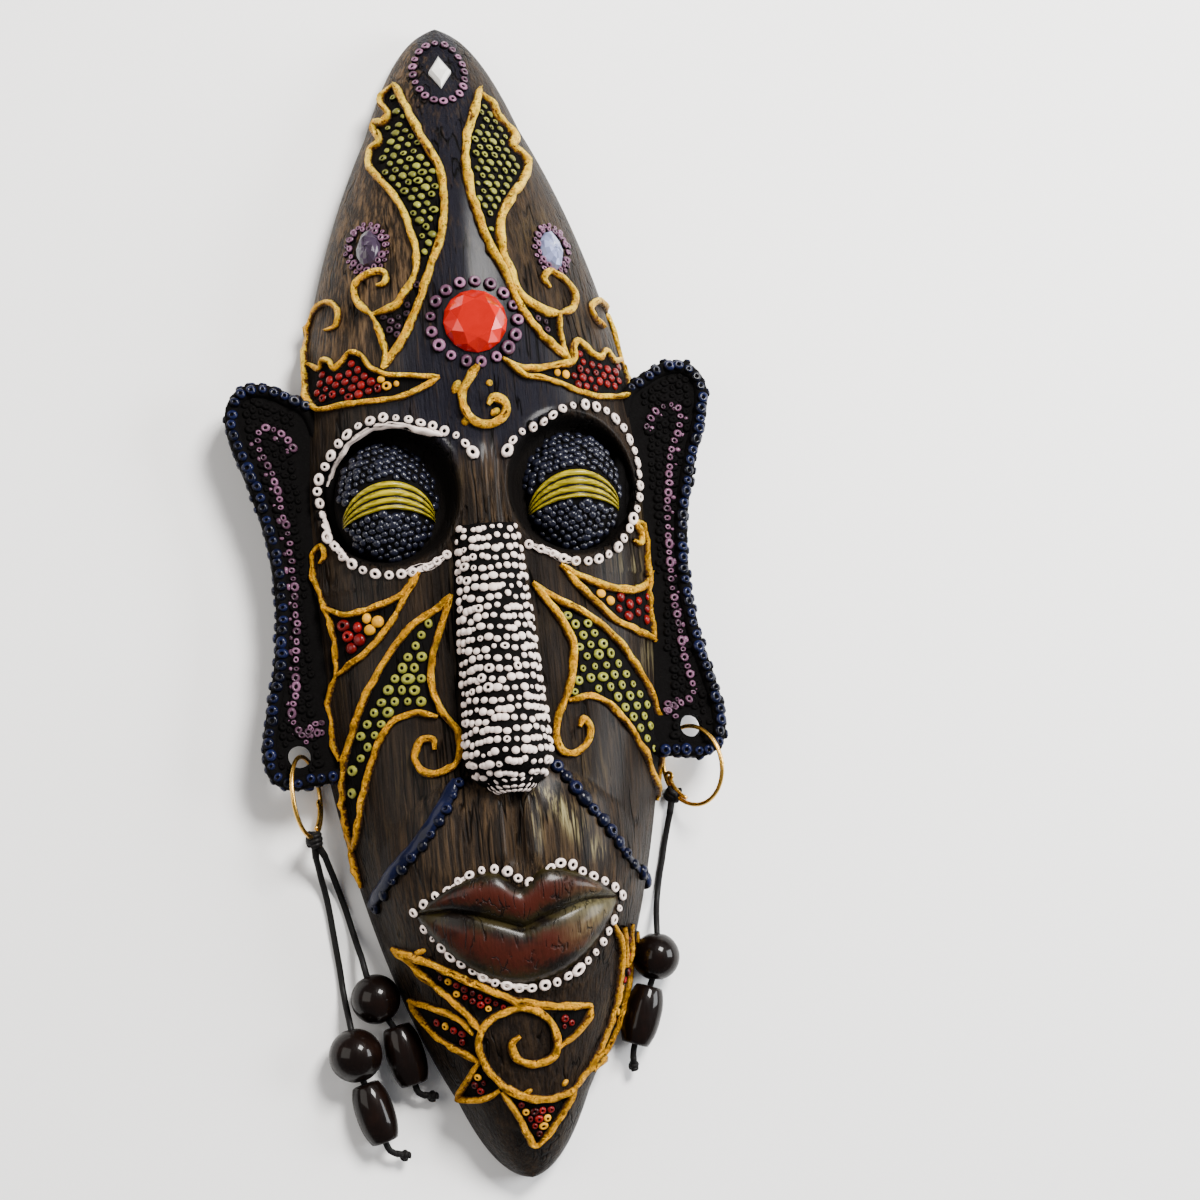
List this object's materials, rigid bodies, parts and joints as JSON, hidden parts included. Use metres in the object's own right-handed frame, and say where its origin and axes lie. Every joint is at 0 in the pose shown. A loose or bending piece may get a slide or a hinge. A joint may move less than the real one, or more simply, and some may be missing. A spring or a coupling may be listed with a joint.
{
  "type": "carved wall mask",
  "caption": "Small dark carved-look wall mask with a pointed crown, closed eyes, gold scrolls, bead relief, glued stones, long pierced ears and hoop earrings with beaded cords.",
  "frame": {"origin": "on the flat back plane, at mid-length on the middle line", "axes": "+Z out of the face, +Y towards the crown tip, +X to the viewer's right"},
  "size_m": [0.0768, 0.185, 0.0277],
  "materials": {
    "carved_resin": "cast resin painted as dark polished wood, satin",
    "red_glass": "faceted red stone with a foiled back",
    "lilac_glass": "bevelled lilac stone",
    "clear_glass": "pale silvery faceted chip",
    "gold_wire": "bright gilt wire",
    "waxed_cord": "black waxed cotton cord",
    "dark_wood": "polished near-black wooden bead",
    "gold_paint": "gold paint on the raised scrolls",
    "bead_paint": "glossy paint on the raised beads"
  },
  "bodies": {
    "root": {"mask_body": "carved_resin", "forehead_gem": "red_glass", "temple_stone_left": "lilac_glass", "temple_stone_right": "lilac_glass", "crown_diamond": "clear_glass", "ear_hoop_left": "gold_wire", "ear_hoop_right": "gold_wire", "hoop_knot_left": "waxed_cord", "hoop_knot_right": "waxed_cord", "cord_left_a": "waxed_cord", "round_bead_left_a": "dark_wood", "barrel_bead_left_a": "dark_wood", "end_knot_left_a": "waxed_cord", "cord_left_b": "waxed_cord", "round_bead_left_b": "dark_wood", "barrel_bead_left_b": "dark_wood", "end_knot_left_b": "waxed_cord", "cord_right_a": "waxed_cord", "round_bead_right_a": "dark_wood", "barrel_bead_right_a": "dark_wood", "end_knot_right_a": "waxed_cord"}
  },
  "joints": []
}
